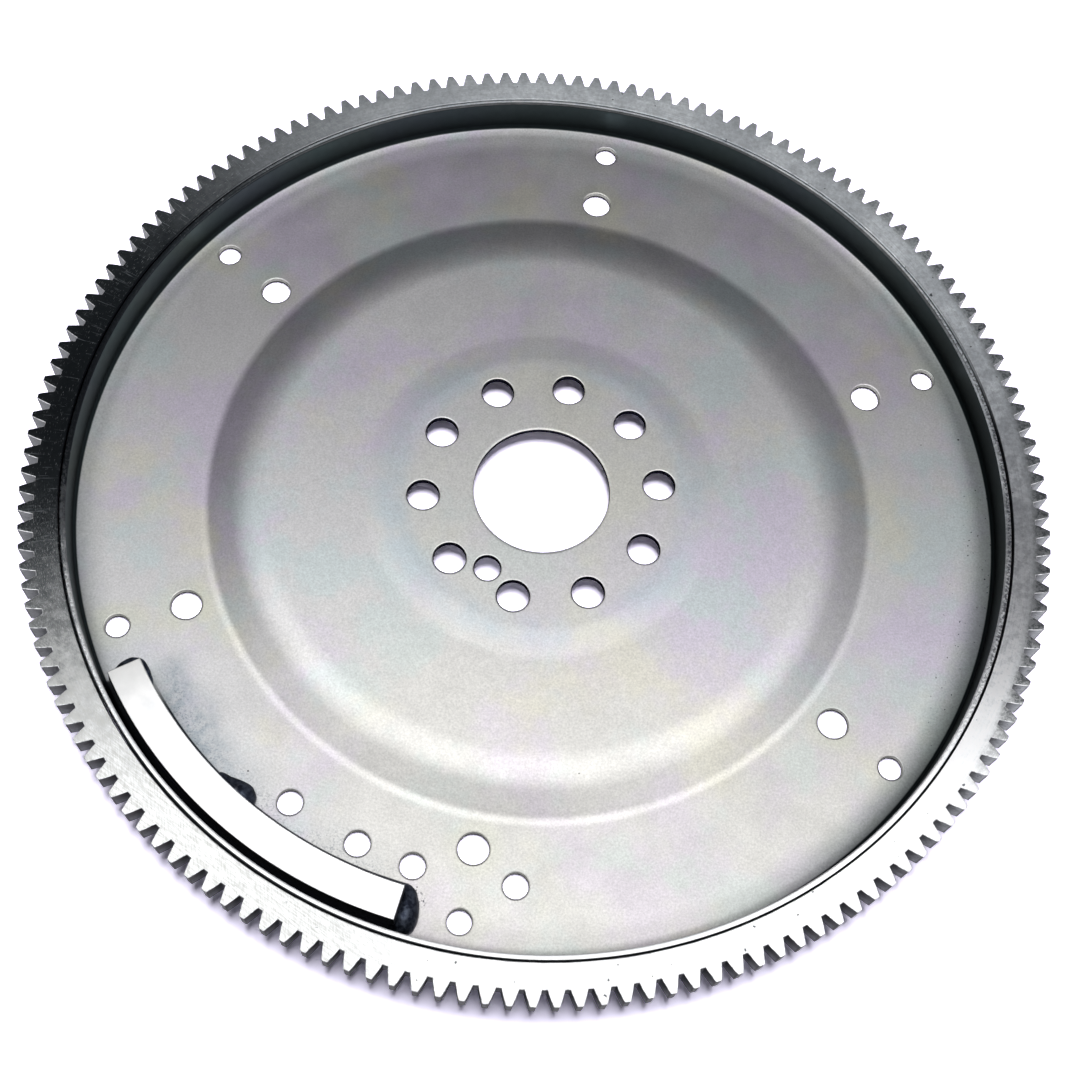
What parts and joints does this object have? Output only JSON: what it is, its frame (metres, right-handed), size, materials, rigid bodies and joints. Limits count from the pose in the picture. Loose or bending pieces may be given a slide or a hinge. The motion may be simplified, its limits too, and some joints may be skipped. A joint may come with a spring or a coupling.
{
  "type": "flexplate",
  "caption": "Flexplate: a stamped, dished steel disc with bolt holes, a toothed ring gear on its turned-up flange and a welded balance bar.",
  "frame": {"origin": "on the disc's axis, in the plane of the flat outer band's underside, which is the lowest face and the one that the plate rests on", "axes": "+Z along the disc's axis, towards the side with the raised hub, the open flange and the balance bar; +X through the middle of one gear tooth, midway between two pairs of outer holes"},
  "size_m": [0.3988, 0.3988, 0.0183],
  "materials": {
    "zinc_sheet": "satin zinc plating with a faint iridescent tint",
    "machined_steel": "turned steel with fine circular tool marks",
    "bright_bar": "bright cold-drawn bar",
    "burnt_weld": "glossy burnt blue-black weld",
    "ring_weld": "rippled grey weld"
  },
  "bodies": {
    "root": {"stamped_disc": "zinc_sheet", "ring_gear": "machined_steel", "balance_weight": "bright_bar", "weight_weld_inner": "burnt_weld", "weight_weld_left_end": "burnt_weld", "weight_weld_right_end": "burnt_weld", "ring_weld_1": "ring_weld", "ring_weld_2": "ring_weld", "ring_weld_3": "ring_weld", "ring_weld_4": "ring_weld", "ring_weld_5": "ring_weld", "ring_weld_6": "ring_weld", "ring_weld_7": "ring_weld", "ring_weld_8": "ring_weld"}
  },
  "joints": []
}
